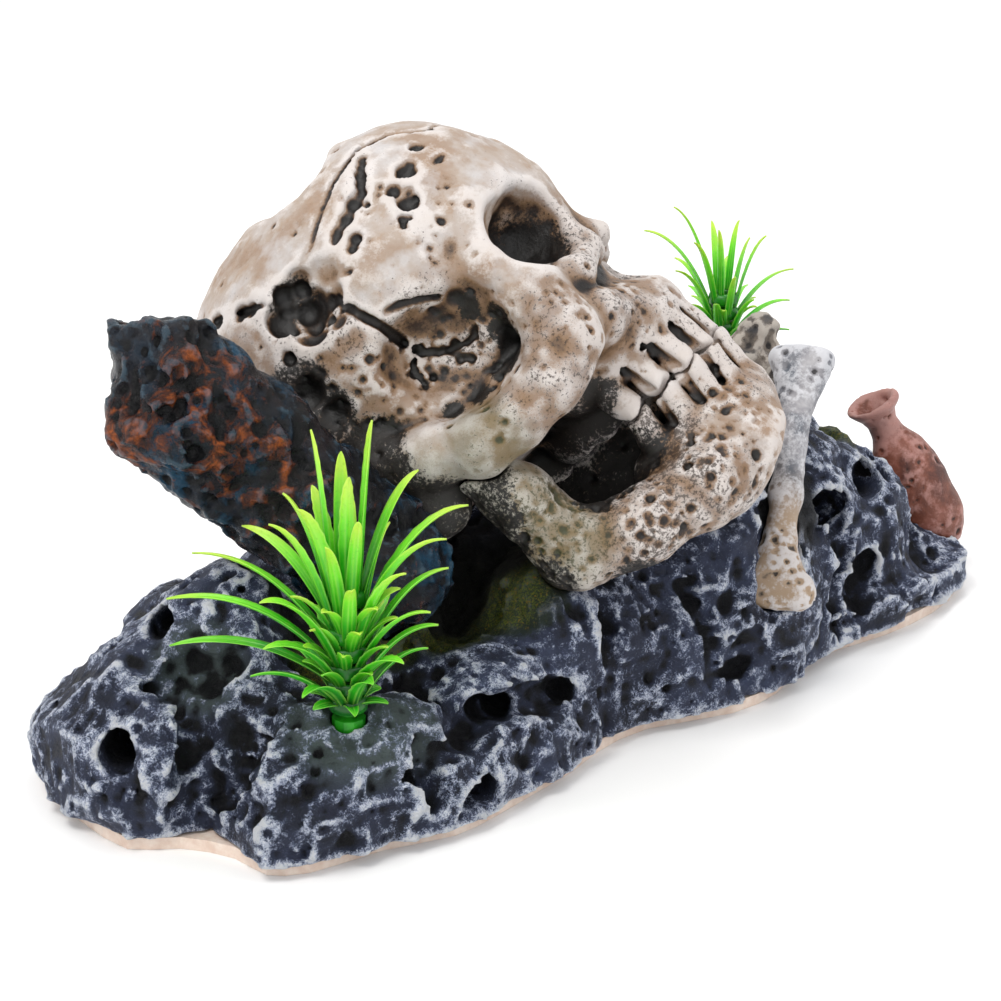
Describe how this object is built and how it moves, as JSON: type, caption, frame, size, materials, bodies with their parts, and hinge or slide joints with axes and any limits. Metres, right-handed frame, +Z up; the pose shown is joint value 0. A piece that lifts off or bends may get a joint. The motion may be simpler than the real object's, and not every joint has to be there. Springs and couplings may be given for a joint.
{
  "type": "aquarium bubbling ornament",
  "caption": "Resin aquarium ornament: a reclining skull on a rock base with a bone, a log, a jar and plastic plants, and an air stone under the skull fed by a swivel elbow.",
  "frame": {"origin": "on the flat underside of the base plate, under the middle of the rock", "axes": "+X along the rock towards the jar end, +Y towards the back where the air elbow is, +Z up"},
  "size_m": [0.1957, 0.0943, 0.1],
  "materials": {
    "raw_resin": "unpainted cream-pink cast resin",
    "painted_rock": "charcoal slate paint, pale blue-white dry-brushed ridges",
    "painted_bone": "ivory paint with brown and black wash, matt",
    "painted_bone_grey": "grey-beige paint, matt",
    "rusted_log": "navy-black with teal and rust-orange patches, glossy",
    "brown_stone": "brown-grey porous, matt",
    "terracotta": "reddish-brown, satin",
    "leaf_green": "bright lime green, translucent, glossy",
    "stem_green": "green, glossy",
    "air_stone": "sintered grains, matt",
    "clear_plastic": "milky plastic",
    "silicone_line": "milky flexible tube",
    "black_rubber": "matt black",
    "black_plastic": "satin black"
  },
  "bodies": {
    "ornament": {"base_plate": "raw_resin", "rock_base": "painted_rock", "skull": "painted_bone", "jaw": "painted_bone", "leg_bone": "painted_bone_grey", "broken_log": "rusted_log", "rear_stone": "brown_stone", "clay_jar": "terracotta", "front_plant_stem": "stem_green", "rear_plant_stem": "stem_green", "air_stone": "air_stone", "air_stone_nipple": "clear_plastic", "inner_airline": "silicone_line", "elbow_grommet": "black_rubber", "front_plant_whorl_1": "leaf_green", "front_plant_whorl_2": "leaf_green", "front_plant_whorl_3": "leaf_green", "front_plant_whorl_4": "leaf_green", "front_plant_whorl_5": "leaf_green", "front_plant_whorl_6": "leaf_green", "front_plant_tuft": "leaf_green", "rear_plant_whorl_1": "leaf_green", "rear_plant_whorl_2": "leaf_green", "rear_plant_whorl_3": "leaf_green", "rear_plant_whorl_4": "leaf_green", "rear_plant_tuft": "leaf_green"},
    "elbow": {"air_elbow": "black_plastic"}
  },
  "joints": [
    {"name": "elbow_swivel", "type": "hinge", "parent": "ornament", "child": "elbow", "pos_m": [0.024, 0.0445, 0.01], "axis": [0, 1, 0], "range_deg": [-90, 90]}
  ]
}
